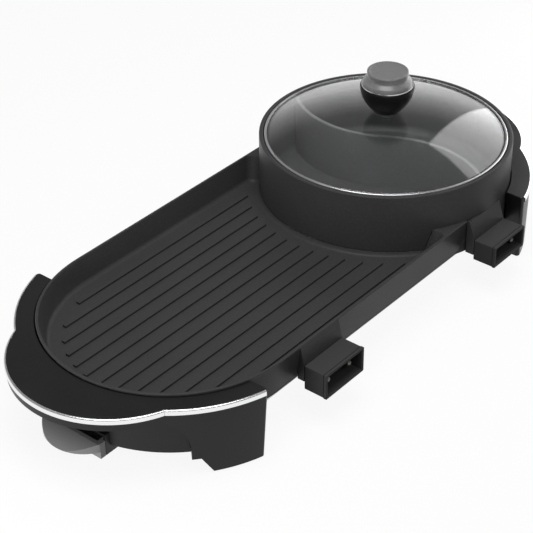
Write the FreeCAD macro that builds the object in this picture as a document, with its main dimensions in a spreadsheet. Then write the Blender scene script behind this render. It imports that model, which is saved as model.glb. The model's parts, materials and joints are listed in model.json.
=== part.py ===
"""Electric griddle and hot pot in one, with a loose glass lid, as a parametric FreeCAD document.

Millimetres, +Z up, the floor at Z = 0. The pieces are drawn in the pan's own plan, which has the
pot's axis at (0, 0) and the griddle towards -X, and each placement then moves its piece so that
the origin is under the middle of the whole appliance.
"""
import FreeCAD
import Part
import Sketcher
import math
import os

os.makedirs("parts", exist_ok=True)

SIZES = {
    # pan casting
    "pan_foot_height": 38.0,
    "pan_foot_depth": 7.0,
    "pan_foot_width": 5.0,
    "pot_radius": 125.0,
    "pot_wall": 7.5,
    "pot_rim_wall": 4.2,
    "pot_floor_thickness": 4.0,
    "pot_depth": 63.0,
    "pot_bore_taper": 2.0,
    "pot_floor_fillet": 8.0,
    "pot_rim_round": 1.2,
    "tray_span": 312.0,
    "tray_half_width": 122.0,
    "tray_floor_thickness": 3.0,
    "tray_depth": 25.0,
    "tray_wall": 3.0,
    "tray_outer_taper": 4.0,
    "rim_bevel": 0.7,
    "lip_height": 3.0,
    "lip_step": 1.0,
    "tray_inner_taper": 5.5,
    "tray_corner_radius": 8.0,
    "tray_floor_fillet": 5.0,
    "rib_pitch": 16.0,
    "rib_width": 4.0,
    "rib_rise": 2.0,
    "rib_border": 14.0,
    "drain_radius": 4.0,
    "drain_wall_gap": 18.0,
    # lid seat and pot divider
    "lid_side_gap": 0.8,
    "lid_seat_depth": 4.8,
    "lid_seat_gap": 0.3,
    "divider_lid_gap": 1.7,
    "divider_wall": 4.0,
    "divider_bevel": 0.6,
    "divider_bow": 20.5,
    "divider_end_shift": 10.0,
    # lid
    "lid_rim_band": 2.4,
    "lid_rim_sheet": 0.5,
    "glass_thickness": 3.5,
    "glass_bevel": 0.8,
    "glass_rise": 23.5,
    "glass_flat": 3.5,
    "knob_screw_radius": 3.0,
    "knob_screw_gap": 0.2,
    "gasket_radius": 12.5,
    "gasket_thickness": 1.2,
    "washer_radius": 9.0,
    "screw_head_radius": 5.0,
    "screw_head_height": 2.4,
    "screw_reach": 14.0,
    "knob_foot_radius": 11.5,
    "knob_radius": 26.5,
    "knob_flare": 36.0,
    "knob_body_height": 28.5,
    "knob_edge": 3.5,
    "knob_ring_height": 1.0,
    "knob_cap_height": 13.2,
    "knob_flange_radius": 23.8,
    "knob_flange_height": 3.5,
    "knob_flange_slope": 3.0,
    "knob_flange_bevel": 0.8,
    "knob_neck_inset": 0.7,
    "knob_top_radius": 20.2,
    "knob_top_edge": 2.0,
    "knob_cap_round": 0.9,
    # end bases
    "base_top_drop": 2.0,
    "base_plate": 3.0,
    "base_skirt": 12.0,
    "base_wall": 3.0,
    "base_pan_gap": 0.8,
    "base_bevel": 0.7,
    "sole_bevel": 0.8,
    "kink_round": 2.0,
    "grill_base_margin": 18.0,
    "pot_base_margin": 20.0,
    "grill_grip_stand": 28.3,
    "pot_grip_stand": 29.0,
    "grip_radius": 94.0,
    "grill_arm_start": 35.0,
    "pot_arm_start": 35.0,
    "recess_bottom": 14.0,
    "ledge_thickness": 3.5,
    "ledge_reach": 16.0,
    "leg_draft": 0.5,
    "leg_end_draft": 3.0,
    "grill_leg_setback": 59.0,
    "pot_leg_setback": 64.0,
    "leg_slope": 8.5,
    "leg_notch_height": 17.0,
    "leg_notch_width": 6.0,
    "leg_web_radius": 32.0,
    "leg_web_length": 23.0,
    "foot_stand": 0.8,
    "foot_radius": 5.5,
    "foot_depth": 4.0,
    "trim_height": 4.0,
    "trim_drop": 1.2,
    "trim_depth": 2.2,
    "trim_stand": 1.2,
    "trim_bevel": 0.8,
    "trim_start_gap": 0.5,
    "trim_kink_gap": 0.1,
    "arm_round": 3.0,
    # socket hoods
    "grill_hood_offset": 50.0,
    "grill_hood_width": 53.0,
    "grill_hood_height": 25.0,
    "grill_hood_stand": 4.0,
    "pot_hood_offset": -9.0,
    "pot_hood_width": 51.0,
    "pot_hood_height": 22.0,
    "pot_hood_stand": 6.0,
    "hood_top_rise": 10.0,
    "hood_depth": 24.0,
    "hood_wall": 2.5,
    "hood_corner_round": 1.2,
    "hood_bevel": 0.6,
    "block_plate": 3.5,
    "block_width": 44.0,
    "block_depth": 18.0,
    "pin_pitch": 30.0,
    "pin_radius": 2.5,
    "pin_shank_radius": 2.0,
    "pin_chamfer": 0.8,
    "pin_recess": 6.0,
    "probe_radius": 3.5,
    "probe_bore": 2.6,
    "probe_length": 38.0,
    "probe_end": 2.0,
    # heaters and shield
    "heater_radius": 3.5,
    "grill_loop_inset": 52.0,
    "grill_loop_end_gap": 10.0,
    "grill_loop_pot_gap": 25.0,
    "grill_loop_corner": 30.0,
    "pot_loop_inset": 50.0,
    "heater_bend": 12.0,
    "shield_depth": 7.0,
    "shield_inset": 7.0,
    "shield_draft": 3.0,
    "shield_sheet": 1.0,
    "shield_base_gap": 8.0,
    "shield_ledge_gap": 6.0,
    # grease drawer
    "housing_stand": 6.0,
    "housing_wall": 2.5,
    "drawer_half_width": 30.5,
    "drawer_reach": 133.0,
    "drawer_length": 73.0,
    "drawer_height": 13.2,
    "drawer_headroom": 3.0,
    "drawer_wall": 2.0,
    "drawer_gap": 0.5,
    "drawer_lift": 0.3,
    "panel_depth": 6.0,
    "pull_reach": 19.5,
    "pull_waist": 7.5,
    "pull_lip": 1.5,
    "pull_crown": 40.0,
    "pull_foot_half_width": 20.0,
    "pull_foot_reach": 12.0,
    "pull_wall": 3.0,
    "pull_depth": 9.0,
    "pull_round": 0.8,
}

doc = FreeCAD.newDocument("griddle_and_hot_pot")
sheet = doc.addObject("Spreadsheet::Sheet", "Sizes")
for row, (alias, number) in enumerate(SIZES.items(), start=1):
    sheet.set("A%d" % row, alias)
    sheet.set("B%d" % row, str(number))
    sheet.setAlias("B%d" % row, alias)
doc.recompute()


class Size:
    """A number worked out from the sheet, together with the expression that gives it."""

    def __init__(self, value, text):
        self.value = float(value)
        self.text = text

    def __add__(self, other):
        other = size(other)
        return Size(self.value + other.value, "(%s + %s)" % (self.text, other.text))

    def __sub__(self, other):
        other = size(other)
        return Size(self.value - other.value, "(%s - %s)" % (self.text, other.text))

    def __mul__(self, other):
        other = size(other)
        return Size(self.value * other.value, "(%s * %s)" % (self.text, other.text))

    def __truediv__(self, other):
        other = size(other)
        return Size(self.value / other.value, "(%s / %s)" % (self.text, other.text))

    def __radd__(self, other):
        return size(other) + self

    def __rsub__(self, other):
        return size(other) - self

    def __rmul__(self, other):
        return size(other) * self

    def __neg__(self):
        return Size(-self.value, "(-1 * %s)" % self.text)


def size(number):
    """Give a plain number the same form as a size of the sheet."""
    if isinstance(number, Size):
        return number
    return Size(number, "%.6g" % number)


def root(area):
    """Square root of a size."""
    return Size(math.sqrt(area.value), "sqrt(%s)" % area.text)


def leg_of(long_side, short_side):
    """The other short side of a right-angled triangle."""
    return root(long_side * long_side - short_side * short_side)


def arc_sine(ratio):
    """The angle in degrees that has a sine."""
    return Size(math.degrees(math.asin(ratio.value)), "asin(%s)" % ratio.text)


class Dimensions:
    """The sheet's numbers, read by their alias."""

    def __getattr__(self, alias):
        return Size(sheet.get(alias), "Sizes." + alias)


dim = Dimensions()

# Heights and radii that several pieces share.
PLATE_BOTTOM = dim.pan_foot_height + dim.pan_foot_depth
TRAY_FLOOR = PLATE_BOTTOM + dim.tray_floor_thickness
TRAY_RIM = TRAY_FLOOR + dim.tray_depth
BEVEL_BOTTOM = TRAY_RIM - dim.rim_bevel
POT_FLOOR = PLATE_BOTTOM + dim.pot_floor_thickness
POT_RIM = POT_FLOOR + dim.pot_depth
POT_BORE = dim.pot_radius - dim.pot_wall
SEAT_HEIGHT = POT_RIM - dim.lid_seat_depth
SEAT_RADIUS = dim.pot_radius - dim.pot_rim_wall
LID_RADIUS = SEAT_RADIUS - dim.lid_side_gap
HOOD_TOP = PLATE_BOTTOM + dim.hood_top_rise
HEATER_HEIGHT = PLATE_BOTTOM - dim.heater_radius
BASE_TOP = TRAY_RIM - dim.base_top_drop


# ---------------------------------------------------------------- helpers

def bind(target, name, length):
    """Tie a property to the sheet."""
    target.setExpression(name, size(length).text)


def place(piece, x=0, y=0, z=0):
    """Put a piece that is drawn in the pan's plan into the appliance's frame."""
    bind(piece, "Placement.Base.x", FRAME_X + x)
    bind(piece, "Placement.Base.y", FRAME_Y + y)
    bind(piece, "Placement.Base.z", size(z))
    return piece


def new_body(label):
    """A sub-part that is made of PartDesign features."""
    body = doc.addObject("PartDesign::Body", label)
    body.Label = label
    return place(body)


def origin_plane(body, role):
    """One of the body's own origin planes."""
    return [item for item in body.Origin.OriginFeatures if item.Role == role][0]


def new_sketch(body, role, offset=0):
    """An empty sketch on an origin plane, moved along the plane's normal."""
    sketch = body.newObject("Sketcher::SketchObject", body.Label + "_sketch")
    sketch.AttachmentSupport = [(origin_plane(body, role), "")]
    sketch.MapMode = "FlatFace"
    bind(sketch, "AttachmentOffset.Base.z", offset)
    return sketch


def turn_sketch(sketch, x, angle, way):
    """Turn an upright sketch about the vertical line at x; way is +1 or -1."""
    turn = FreeCAD.Rotation(FreeCAD.Vector(0, way, 0), angle.value)
    sketch.AttachmentOffset = FreeCAD.Placement(FreeCAD.Vector(x.value, 0, 0), turn)
    bind(sketch, "AttachmentOffset.Base.x", x)
    bind(sketch, "AttachmentOffset.Rotation.Angle", angle)
    return sketch


def pin_point(sketch, edge, end, x, y):
    """Fix one end of an edge at a place that is given by sizes."""
    for kind, length in (("DistanceX", x), ("DistanceY", y)):
        length = size(length)
        index = sketch.addConstraint(Sketcher.Constraint(kind, -1, 1, edge, end, length.value))
        bind(sketch, "Constraints[%d]" % index, length)


def arc_edge(start, stop, radius, turn):
    """An arc from start to stop; turn is +1 for a left turn and -1 for a right turn."""
    chord = stop - start
    middle = (start + stop) * 0.5
    side = FreeCAD.Vector(-chord.y, chord.x, 0).normalize()
    reach = math.sqrt(radius * radius - chord.Length * chord.Length / 4)
    centre = middle + side * (reach * turn)
    first, last = (start, stop) if turn > 0 else (stop, start)
    angles = [math.atan2(point.y - centre.y, point.x - centre.x) for point in (first, last)]
    circle = Part.Circle(centre, FreeCAD.Vector(0, 0, 1), radius)
    return Part.ArcOfCircle(circle, angles[0], angles[1])


def draw_path(sketch, path, closed=True):
    """Draw corners joined by lines and arcs.

    A corner is (x, y), or (x, y, radius, turn) when the edge that leads to it is an arc.
    """
    corners = [FreeCAD.Vector(size(corner[0]).value, size(corner[1]).value, 0) for corner in path]
    count = len(path)
    ends = []
    for index in range(count if closed else count - 1):
        target = (index + 1) % count
        corner = path[target]
        start, stop = corners[index], corners[target]
        if len(corner) == 2:
            edge = sketch.addGeometry(Part.LineSegment(start, stop), False)
            ends.append((edge, 1, 2))
            continue
        radius, turn = size(corner[2]), corner[3]
        edge = sketch.addGeometry(arc_edge(start, stop, radius.value, turn), False)
        ends.append((edge, 1, 2) if turn > 0 else (edge, 2, 1))
        fixed = sketch.addConstraint(Sketcher.Constraint("Radius", edge, radius.value))
        bind(sketch, "Constraints[%d]" % fixed, radius)
    for index, (edge, first, last) in enumerate(ends):
        follower = (index + 1) % len(ends)
        if closed or follower:
            next_edge, next_first, _ = ends[follower]
            sketch.addConstraint(Sketcher.Constraint("Coincident", edge, last, next_edge, next_first))
        pin_point(sketch, edge, first, path[index][0], path[index][1])
    if not closed:
        edge, _, last = ends[-1]
        pin_point(sketch, edge, last, path[-1][0], path[-1][1])
    return sketch


def path_sketch(body, path, offset=0, role="XY_Plane", closed=True):
    """A sketch that holds one path."""
    return draw_path(new_sketch(body, role, offset), path, closed)


def add_circle(sketch, x, y, radius):
    """Add a circle to a sketch."""
    centre = FreeCAD.Vector(size(x).value, size(y).value, 0)
    radius = size(radius)
    circle = Part.Circle(centre, FreeCAD.Vector(0, 0, 1), radius.value)
    edge = sketch.addGeometry(circle, False)
    fixed = sketch.addConstraint(Sketcher.Constraint("Radius", edge, radius.value))
    bind(sketch, "Constraints[%d]" % fixed, radius)
    pin_point(sketch, edge, 3, x, y)
    return sketch


def circle_sketch(body, radius, x=0, y=0, offset=0, role="XY_Plane"):
    """A sketch that holds one circle."""
    return add_circle(new_sketch(body, role, offset), x, y, radius)


def rectangle(low_x, high_x, low_y, high_y):
    """The path of an upright rectangle."""
    return [(low_x, low_y), (high_x, low_y), (high_x, high_y), (low_x, high_y)]


def feature(body, kind, sketch):
    """A PartDesign feature on a sketch."""
    made = body.newObject("PartDesign::" + kind, body.Label + "_" + kind.lower())
    made.Profile = sketch
    return made


def pad(body, sketch, length, reverse=False):
    """Raise a sketch along its normal."""
    made = feature(body, "Pad", sketch)
    bind(made, "Length", length)
    made.Reversed = reverse
    return made


def pocket(body, sketch, length, reverse=False):
    """Cut a sketch away, against its normal unless reversed."""
    doc.recompute()
    before = body.Shape.Volume
    made = feature(body, "Pocket", sketch)
    bind(made, "Length", length)
    made.Reversed = reverse
    doc.recompute()
    if body.Shape.Volume > before - 0.01:
        raise RuntimeError("a pocket of %s cuts nothing" % body.Label)
    return made


def revolve(body, path):
    """Turn a profile, drawn as (radius, height), about the vertical axis."""
    sketch = path_sketch(body, path, role="XZ_Plane")
    made = feature(body, "Revolution", sketch)
    made.ReferenceAxis = (sketch, ["V_Axis"])
    made.Angle = 360
    return made


def loft(body, kind, sketches):
    """A ruled loft through sketches that have the same number of edges."""
    made = feature(body, kind, sketches[0])
    made.Sections = sketches[1:]
    made.Ruled = True
    return made


def dress_edges(body, kind, name, length, chosen):
    """Fillet or chamfer the edges of the body's last feature that the chosen test picks."""
    doc.recompute()
    last = body.Tip
    names = ["Edge%d" % number for number, edge in enumerate(last.Shape.Edges, start=1) if chosen(edge)]
    if not names:
        raise RuntimeError("no edge of %s to dress" % body.Label)
    made = body.newObject("PartDesign::" + kind, body.Label + "_" + kind.lower())
    made.Base = (last, names)
    bind(made, name, length)
    return made


def fillet(body, radius, chosen):
    """Round the chosen edges."""
    return dress_edges(body, "Fillet", "Radius", radius, chosen)


def chamfer(body, width, chosen):
    """Bevel the chosen edges."""
    return dress_edges(body, "Chamfer", "Size", width, chosen)


def level_edge(edge, height):
    """Whether an edge lies at one height."""
    box = edge.BoundBox
    return abs(box.ZMin - height.value) < 0.01 and abs(box.ZMax - height.value) < 0.01


def round_edge(edge, radius):
    """Whether an edge is an arc or a circle of one radius."""
    return isinstance(edge.Curve, Part.Circle) and abs(edge.Curve.Radius - radius.value) < 0.01


class Hood:
    """One socket hood: its middle, width, height and outer face, from the sheet."""

    def __init__(self, name, centre, pan_radius):
        self.name = name
        self.centre = centre + getattr(dim, name + "_hood_offset")
        self.width = getattr(dim, name + "_hood_width")
        self.height = getattr(dim, name + "_hood_height")
        self.back = pan_radius + getattr(dim, name + "_hood_stand")
        self.face = self.back + dim.hood_depth
        self.bottom = HOOD_TOP - self.height
        self.shoulder = self.back + dim.block_plate
        self.block_back = self.back - dim.block_depth
        self.pins = (self.centre - dim.pin_pitch / 2, self.centre + dim.pin_pitch / 2)


class EndBase:
    """Sizes and plan of one C-shaped base; outward is measured from the pan end's centre."""

    def __init__(self, name, side, centre, pan_radius):
        self.name = name
        self.side = side
        self.centre = size(centre)
        self.inner = pan_radius + dim.base_pan_gap
        self.collar = self.inner + dim.base_wall
        self.seam = self.inner + dim.base_wall / 2
        self.radius = pan_radius + getattr(dim, name + "_base_margin")
        self.reach = self.radius + getattr(dim, name + "_grip_stand")
        self.start = getattr(dim, name + "_arm_start")
        self.trim_start = self.start + dim.arm_round + dim.trim_start_gap
        self.foot_end = self.radius - getattr(dim, name + "_leg_setback")
        self.notch_start = self.foot_end + dim.leg_slope
        self.web_start = self.notch_start + dim.leg_notch_width
        self.grip_centre = self.reach - dim.grip_radius
        self.underside = BASE_TOP - dim.base_skirt

    def x(self, outward):
        """X in the pan's plan of a distance outward."""
        return self.centre + size(outward) * self.side

    def meeting(self, radius, grip_radius):
        """Where a circle about the pan end meets a circle about the grip's centre."""
        gap = self.grip_centre
        outward = (radius * radius + gap * gap - grip_radius * grip_radius) / (gap * 2)
        return outward, leg_of(radius, outward)

    def mirrored(self, path):
        """Turn corners (outward, height or y, radius, turn) to the side that the base is on."""
        turned = []
        for corner in path:
            arc = (corner[2], corner[3] * self.side) if len(corner) > 2 else ()
            turned.append((size(corner[0]) * self.side, corner[1]) + arc)
        return turned

    def corners(self, path):
        """Turn corners (outward, y, radius, turn) into corners of the pan's plan."""
        return [(self.centre + corner[0],) + corner[1:] for corner in self.mirrored(path)]

    def sector(self, low, high, start=None):
        """Plan of the ring between two radii, from one arm's end round to the other's."""
        start = self.start if start is None else start
        return self.corners([
            (start, -leg_of(high, start)),
            (high, 0, high, 1),
            (start, leg_of(high, start), high, 1),
            (start, leg_of(low, start)),
            (start, -leg_of(low, start), low, -1),
        ])

    def outline(self):
        """Plan of the top: two side lobes and the grip's lobe between them."""
        kink, kink_y = self.meeting(self.radius, dim.grip_radius)
        return self.corners([
            (self.start, -leg_of(self.radius, self.start)),
            (kink, -kink_y, self.radius, 1),
            (self.reach, 0, dim.grip_radius, 1),
            (kink, kink_y, dim.grip_radius, 1),
            (self.start, leg_of(self.radius, self.start), self.radius, 1),
            (self.start, leg_of(self.inner, self.start)),
            (self.start, -leg_of(self.inner, self.start), self.inner, -1),
        ])

    def grip_hollow(self):
        """Plan of the hollow under the grip, from the middle of the collar's wall to the skirt."""
        inside = dim.grip_radius - dim.base_wall
        meet, meet_y = self.meeting(self.seam, inside)
        return self.corners([
            (meet, -meet_y, self.seam, -1),
            (self.reach - dim.base_wall, 0, inside, 1),
            (meet, meet_y, inside, 1),
        ])

    def leg(self, hand, draft):
        """Plan of one leg, on the side that hand (-1 or +1) names, drawn in by a share of its draft."""
        radius = self.radius - dim.leg_draft * draft
        start = self.start + dim.leg_end_draft * draft
        end = self.web_start + dim.leg_web_length
        return self.corners([
            (start, leg_of(radius, start) * hand),
            (end, leg_of(radius, end) * hand, radius, -hand),
            (end, leg_of(self.seam, end) * hand),
            (start, leg_of(self.seam, start) * hand, self.seam, hand),
        ])

    def upright_at(self, edge, outward, y):
        """Whether an edge is an upright one near a corner of the outline, on either side."""
        box = edge.BoundBox
        off_x, off_y = abs(box.Center.x - self.x(outward).value), abs(abs(box.Center.y) - y.value)
        return box.ZLength > box.XLength + box.YLength and off_x + off_y < dim.leg_draft.value

    def arm_corner(self, edge):
        """Whether an edge is one of the upright ones at the outer corners of the arms' ends."""
        return self.upright_at(edge, self.start, leg_of(self.radius, self.start))

    def kink(self, edge):
        """Whether an edge is one of the upright ones where the side lobes meet the grip's."""
        outward, y = self.meeting(self.radius, dim.grip_radius)
        return self.upright_at(edge, outward, y)

    def past_web(self, outward):
        """How far past the web's start a point of the leg's outer face is, square to that radius."""
        web = self.web_start
        return (outward * leg_of(self.radius, web) - leg_of(self.radius, outward) * web) / self.radius

    def leg_clearing(self):
        """Section, square to the radius of the web's start, of what is cleared beside a leg.

        It holds the foot's slope, a notch and a round web up to the grip's underside.
        """
        low, web = -dim.base_wall, dim.leg_web_radius
        foot, notch = self.past_web(self.foot_end), self.past_web(self.notch_start)
        far = self.radius / 2
        return self.mirrored([
            (foot, low),
            (foot, dim.foot_stand),
            (notch, dim.leg_notch_height),
            (0, dim.leg_notch_height),
            (0, self.underside - web),
            (web, self.underside, web, -1),
            (far, self.underside),
            (far, low),
        ])

    def side_trim(self, hand):
        """Plan of the trim strip round one side lobe, mitred where it meets the grip's strip."""
        outer = self.radius + dim.trim_stand
        inner = outer - dim.trim_depth
        grip = dim.grip_radius + dim.trim_stand + dim.trim_kink_gap
        last, last_y = self.meeting(outer, grip)
        under, under_y = self.meeting(inner, grip - dim.trim_depth)
        first = self.trim_start
        return self.corners([
            (first, leg_of(outer, first) * hand),
            (last, last_y * hand, outer, -hand),
            (under, under_y * hand),
            (first, leg_of(inner, first) * hand, inner, hand),
        ])

    def grip_trim(self):
        """Plan of the trim strip round the grip's lobe, mitred at both ends."""
        outer = dim.grip_radius + dim.trim_stand
        inner = outer - dim.trim_depth
        lobe = self.radius + dim.trim_stand + dim.trim_kink_gap
        last, last_y = self.meeting(lobe, outer)
        under, under_y = self.meeting(lobe - dim.trim_depth, inner)
        middle = self.grip_centre
        return self.corners([
            (last, -last_y),
            (middle + outer, 0, outer, 1),
            (last, last_y, outer, 1),
            (under, under_y),
            (middle + inner, 0, inner, -1),
            (under, -under_y, inner, -1),
        ])


GRILL_HOOD = Hood("grill", -dim.tray_span, dim.tray_half_width)
POT_HOOD = Hood("pot", size(0), dim.pot_radius)
GRILL_BASE = EndBase("grill", -1, -dim.tray_span, dim.tray_half_width)
POT_BASE = EndBase("pot", 1, 0, dim.pot_radius)
TRIM_TOP = BASE_TOP - dim.trim_drop

# The middle of the appliance, seen from the pot's axis.
ARM_WIDTH = leg_of(POT_BASE.radius + dim.trim_stand, POT_BASE.trim_start)
FRAME_X = (dim.tray_span + GRILL_BASE.reach - POT_BASE.reach) / 2
FRAME_Y = (POT_HOOD.face - ARM_WIDTH) / 2


# ---------------------------------------------------------------- pan casting

def tray_path(half_width):
    """Plan of the griddle: a round end, straight sides, and the pot's arc with rounded corners."""
    corner = dim.tray_corner_radius
    reach = dim.pot_radius + corner
    corner_x = -leg_of(reach, half_width - corner)
    touch = dim.pot_radius / reach
    touch_x = corner_x * touch
    touch_y = (half_width - corner) * touch
    end = -dim.tray_span
    return [
        (end, half_width),
        (end - half_width, 0, half_width, 1),
        (end, -half_width, half_width, 1),
        (corner_x, -half_width),
        (touch_x, -touch_y, corner, 1),
        (-dim.pot_radius, 0, dim.pot_radius, -1),
        (touch_x, touch_y, dim.pot_radius, -1),
        (corner_x, half_width, corner, 1),
    ]


def stadium_path(half_width):
    """Plan of the griddle's outside: a round end and straight sides that run into the pot.

    The front side stops where the pot's own socket shoulder starts.
    """
    end = -dim.tray_span
    shoulder = POT_HOOD.centre - POT_HOOD.width / 2
    return [
        (end, half_width),
        (end - half_width, 0, half_width, 1),
        (end, -half_width, half_width, 1),
        (shoulder, -half_width),
        (shoulder, 0),
        (0, 0),
        (0, half_width),
    ]


def add_ribs(body):
    """Raise the griddle's long ribs, each as long as the floor leaves room for."""
    field = dim.tray_half_width - dim.tray_wall - dim.tray_inner_taper - dim.rib_border
    count = int(field.value / dim.rib_pitch.value)
    half = dim.rib_width / 2
    sketch = new_sketch(body, "XY_Plane", TRAY_FLOOR)
    for number in range(-count, count + 1):
        y = dim.rib_pitch * number
        left = -dim.tray_span - leg_of(field, y)
        right = -leg_of(dim.pot_radius + dim.rib_border, y)
        draw_path(sketch, rectangle(left, right, y - half, y + half))
    return pad(body, sketch, dim.rib_rise)


def hood_shoulder(body, hood, wall):
    """The thickened stretch of wall that a socket hood stands against, up to the rim's bevel."""
    profile = [
        (-wall + dim.tray_wall, dim.pan_foot_height),
        (-hood.back, dim.pan_foot_height),
        (-hood.back, HOOD_TOP),
        (-wall, BEVEL_BOTTOM),
        (-wall + dim.tray_wall, BEVEL_BOTTOM),
    ]
    sketch = path_sketch(body, profile, offset=hood.centre - hood.width / 2, role="YZ_Plane")
    return pad(body, sketch, hood.width)


def block_window(body, hood):
    """The window in the casting's foot that the terminal block goes through."""
    half = dim.block_width / 2
    path = rectangle(hood.centre - half, hood.centre + half, dim.pan_foot_height, PLATE_BOTTOM)
    sketch = path_sketch(body, path, offset=hood.back, role="XZ_Plane")
    return pocket(body, sketch, dim.block_depth)


def make_grill_tray():
    """The griddle half of the casting: flared wall, coved floor, long ribs and a drain."""
    body = new_body("grill_tray")
    foot, rim = dim.pan_foot_height, TRAY_RIM
    lip, lip_top = dim.tray_half_width - dim.tray_outer_taper, foot + dim.lip_height
    outside = [path_sketch(body, stadium_path(lip), lip_top),
               path_sketch(body, stadium_path(dim.tray_half_width), BEVEL_BOTTOM),
               path_sketch(body, stadium_path(dim.tray_half_width - dim.rim_bevel), rim)]
    loft(body, "AdditiveLoft", outside)
    pad(body, path_sketch(body, stadium_path(lip - dim.lip_step), foot), dim.lip_height)
    hood_shoulder(body, GRILL_HOOD, dim.tray_half_width)
    inner = dim.tray_half_width - dim.tray_wall
    inside = [path_sketch(body, tray_path(inner - dim.tray_inner_taper), TRAY_FLOOR),
              path_sketch(body, tray_path(inner), BEVEL_BOTTOM),
              path_sketch(body, tray_path(inner + dim.rim_bevel), rim)]
    loft(body, "SubtractiveLoft", inside)
    fillet(body, dim.tray_floor_fillet, lambda edge: level_edge(edge, TRAY_FLOOR))
    under = stadium_path(lip - dim.pan_foot_width)
    pocket(body, path_sketch(body, under, foot), PLATE_BOTTOM - foot, True)
    pocket(body, circle_sketch(body, dim.pot_radius, offset=rim), rim - foot)
    block_window(body, GRILL_HOOD)
    add_ribs(body)
    top = TRAY_FLOOR + dim.rib_rise
    drain_x = GRILL_BASE.x(dim.tray_half_width - dim.drain_wall_gap)
    drain = circle_sketch(body, dim.drain_radius, drain_x, 0, top)
    pocket(body, drain, top - foot)
    return body


def make_hot_pot():
    """The round half of the casting: straight wall, rebate for the lid, foot ring and floor."""
    body = new_body("hot_pot")
    foot, rim = dim.pan_foot_height, POT_RIM
    ring = dim.pot_radius - dim.pan_foot_width
    revolve(body, [
        (0, PLATE_BOTTOM),
        (ring, PLATE_BOTTOM),
        (ring, foot),
        (dim.pot_radius, foot),
        (dim.pot_radius, rim),
        (SEAT_RADIUS, rim),
        (SEAT_RADIUS, SEAT_HEIGHT),
        (POT_BORE, SEAT_HEIGHT),
        (POT_BORE - dim.pot_bore_taper, POT_FLOOR),
        (0, POT_FLOOR),
    ])
    fillet(body, dim.pot_floor_fillet, lambda edge: level_edge(edge, POT_FLOOR))
    fillet(body, dim.pot_rim_round, lambda edge: level_edge(edge, rim))
    hood_shoulder(body, POT_HOOD, dim.pot_radius)
    block_window(body, POT_HOOD)
    return body


def make_pot_cavity():
    """The pot's inside below the lid's seat, as a solid that the divider is cut to."""
    body = new_body("pot_cavity")
    revolve(body, [
        (0, POT_FLOOR),
        (POT_BORE - dim.pot_bore_taper, POT_FLOOR),
        (POT_BORE, SEAT_HEIGHT),
        (0, SEAT_HEIGHT),
    ])
    fillet(body, dim.pot_floor_fillet, lambda edge: level_edge(edge, POT_FLOOR))
    return body


def make_pot_divider():
    """The S-shaped wall that parts the pot in two, cut to the pot's wall, cove and floor."""
    half = dim.divider_wall / 2
    end_x = dim.divider_end_shift
    end_y = POT_BORE + half
    chord = root(end_x * end_x + end_y * end_y)
    bow = dim.divider_bow
    radius = (chord * chord / 4 + bow * bow) / (bow * 2)
    drop = (radius - bow) / chord
    centre_x = end_x / 2 + drop * end_y
    centre_y = end_y / 2 - drop * end_x
    end_shift_x = (centre_x - end_x) / radius * half
    end_shift_y = (centre_y - end_y) / radius * half
    middle_x = centre_x / radius * half
    middle_y = centre_y / radius * half
    band = new_body("divider_band")
    path = [
        (end_x + end_shift_x, end_y + end_shift_y),
        (middle_x, middle_y, radius - half, 1),
        (end_shift_x - end_x, end_shift_y - end_y, radius + half, -1),
        (-end_x - end_shift_x, -end_y - end_shift_y),
        (-middle_x, -middle_y, radius - half, 1),
        (end_x - end_shift_x, end_y - end_shift_y, radius + half, -1),
    ]
    top = SEAT_HEIGHT - dim.divider_lid_gap
    pad(band, path_sketch(band, path, POT_FLOOR), top - POT_FLOOR)
    chamfer(band, dim.divider_bevel,
            lambda edge: level_edge(edge, top) and isinstance(edge.Curve, Part.Circle))
    divider = doc.addObject("Part::Common", "pot_divider")
    divider.Label = "pot_divider"
    divider.Base = band
    divider.Tool = make_pot_cavity()
    return divider


# ---------------------------------------------------------------- lid

LID_BOTTOM = SEAT_HEIGHT + dim.lid_seat_gap
LID_TOP = LID_BOTTOM + dim.glass_thickness + dim.lid_rim_sheet * 2
GLASS_TOP = LID_TOP - dim.lid_rim_sheet
GLASS_EDGE = LID_RADIUS - dim.lid_rim_sheet
DOME_EDGE = GLASS_EDGE - dim.glass_flat
DOME_RADIUS = (DOME_EDGE * DOME_EDGE + dim.glass_rise * dim.glass_rise) / (dim.glass_rise * 2)
HOLE_RADIUS = dim.knob_screw_radius + dim.knob_screw_gap
KNOB_FOOT = GLASS_TOP + dim.glass_rise + dim.gasket_thickness
KNOB_BODY_TOP = KNOB_FOOT + dim.knob_body_height


def dome_height(radius):
    """Height of the glass dome's upper face at a radius."""
    return GLASS_TOP + dim.glass_rise - DOME_RADIUS + leg_of(DOME_RADIUS, size(radius))


def make_lid_glass():
    """The tempered glass: a flat edge with bevelled corners, and a dome with the screw's hole."""
    body = new_body("lid_glass")
    under, bevel = dim.glass_thickness, dim.glass_bevel
    revolve(body, [
        (HOLE_RADIUS, dome_height(HOLE_RADIUS) - under),
        (DOME_EDGE, GLASS_TOP - under, DOME_RADIUS, -1),
        (GLASS_EDGE - bevel, GLASS_TOP - under),
        (GLASS_EDGE, GLASS_TOP - under + bevel),
        (GLASS_EDGE, GLASS_TOP - bevel),
        (GLASS_EDGE - bevel, GLASS_TOP),
        (DOME_EDGE, GLASS_TOP),
        (HOLE_RADIUS, dome_height(HOLE_RADIUS), DOME_RADIUS, 1),
    ])
    return body


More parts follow.
